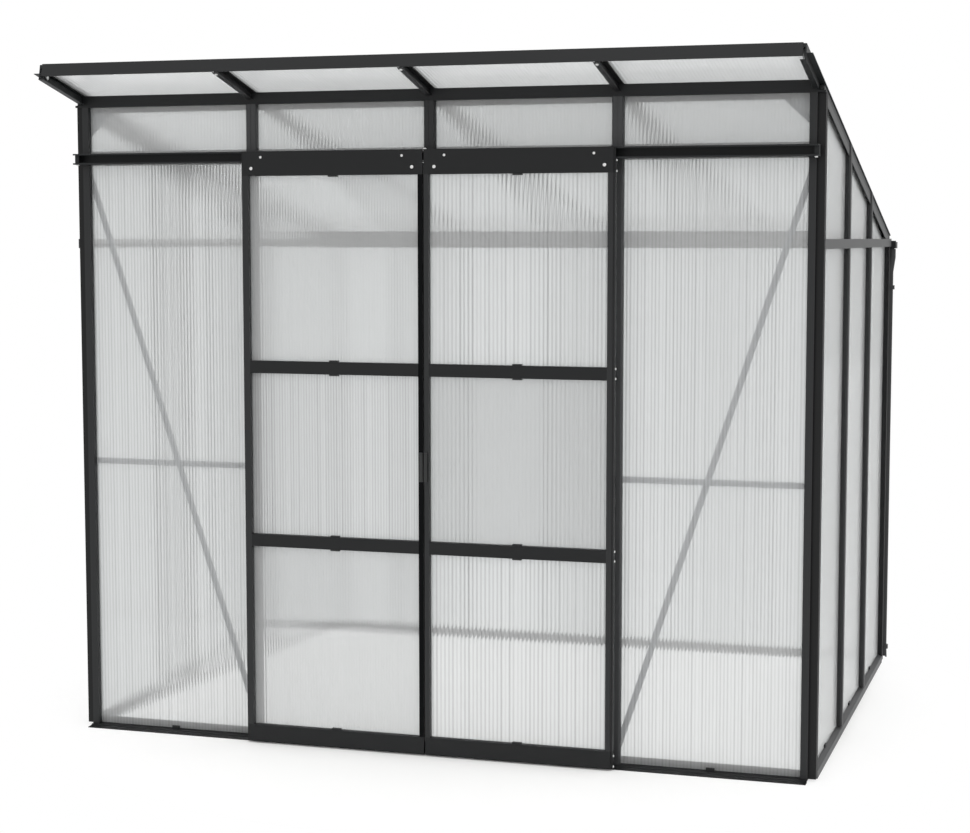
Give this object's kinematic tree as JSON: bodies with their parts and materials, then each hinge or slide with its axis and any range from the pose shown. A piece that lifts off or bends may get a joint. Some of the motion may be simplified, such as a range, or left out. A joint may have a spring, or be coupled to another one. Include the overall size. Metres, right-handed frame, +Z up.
{
  "type": "polycarbonate greenhouse with sliding doors",
  "caption": "Free-standing lean-roofed greenhouse: dark aluminium glazing bars, twin-wall sheets, a roof overhang and a pair of doors that slide apart on a track.",
  "frame": {"origin": "on the ground, under the middle of the outline of the whole building", "axes": "+X along the door front from left to right seen from outside, +Y from the door front to the back wall, +Z up"},
  "size_m": [2.576, 2.2518, 2.2558],
  "materials": {
    "frame_metal": "powder-coated extruded aluminium, anthracite, satin",
    "wall_sheet": "translucent twin-wall polycarbonate",
    "door_sheet": "translucent twin-wall polycarbonate",
    "roller_plastic": "moulded nylon",
    "handle_plastic": "moulded, satin"
  },
  "bodies": {
    "frame": {"base_front": "frame_metal", "base_back": "frame_metal", "base_sides": "frame_metal", "post_front_left": "frame_metal", "post_front_right": "frame_metal", "post_back_left": "frame_metal", "post_back_right": "frame_metal", "door_jambs": "frame_metal", "transom_bar": "frame_metal", "transom_rail": "frame_metal", "top_rail": "frame_metal", "door_track": "frame_metal", "side_bars_left": "frame_metal", "side_bars_right": "frame_metal", "back_bars": "frame_metal", "eaves_rail": "frame_metal", "gutter": "frame_metal", "downpipes": "frame_metal", "side_head_left": "frame_metal", "side_head_right": "frame_metal", "side_rail_left": "frame_metal", "side_rail_right": "frame_metal", "edge_bar_left": "frame_metal", "edge_bar_right": "frame_metal", "roof_bars": "frame_metal", "front_board": "frame_metal", "cross_braces": "frame_metal", "level_braces": "frame_metal", "gussets": "frame_metal", "front_panes": "wall_sheet", "transom_panes": "wall_sheet", "side_panes_left": "wall_sheet", "side_panes_right": "wall_sheet", "back_panes": "wall_sheet", "roof_panes": "wall_sheet"},
    "door_left": {"door_left_stiles": "frame_metal", "door_left_rails": "frame_metal", "door_left_panes": "door_sheet", "door_left_rollers": "roller_plastic", "door_left_handle": "handle_plastic"},
    "door_right": {"door_right_stiles": "frame_metal", "door_right_rails": "frame_metal", "door_right_panes": "door_sheet", "door_right_rollers": "roller_plastic", "door_right_handle": "handle_plastic"}
  },
  "joints": [
    {"name": "door_left_slide", "type": "slide", "parent": "frame", "child": "door_left", "axis": [-1, 0, 0], "range_m": [0, 0.6]},
    {"name": "door_right_slide", "type": "slide", "parent": "frame", "child": "door_right", "axis": [1, 0, 0], "range_m": [0, 0.6]}
  ]
}
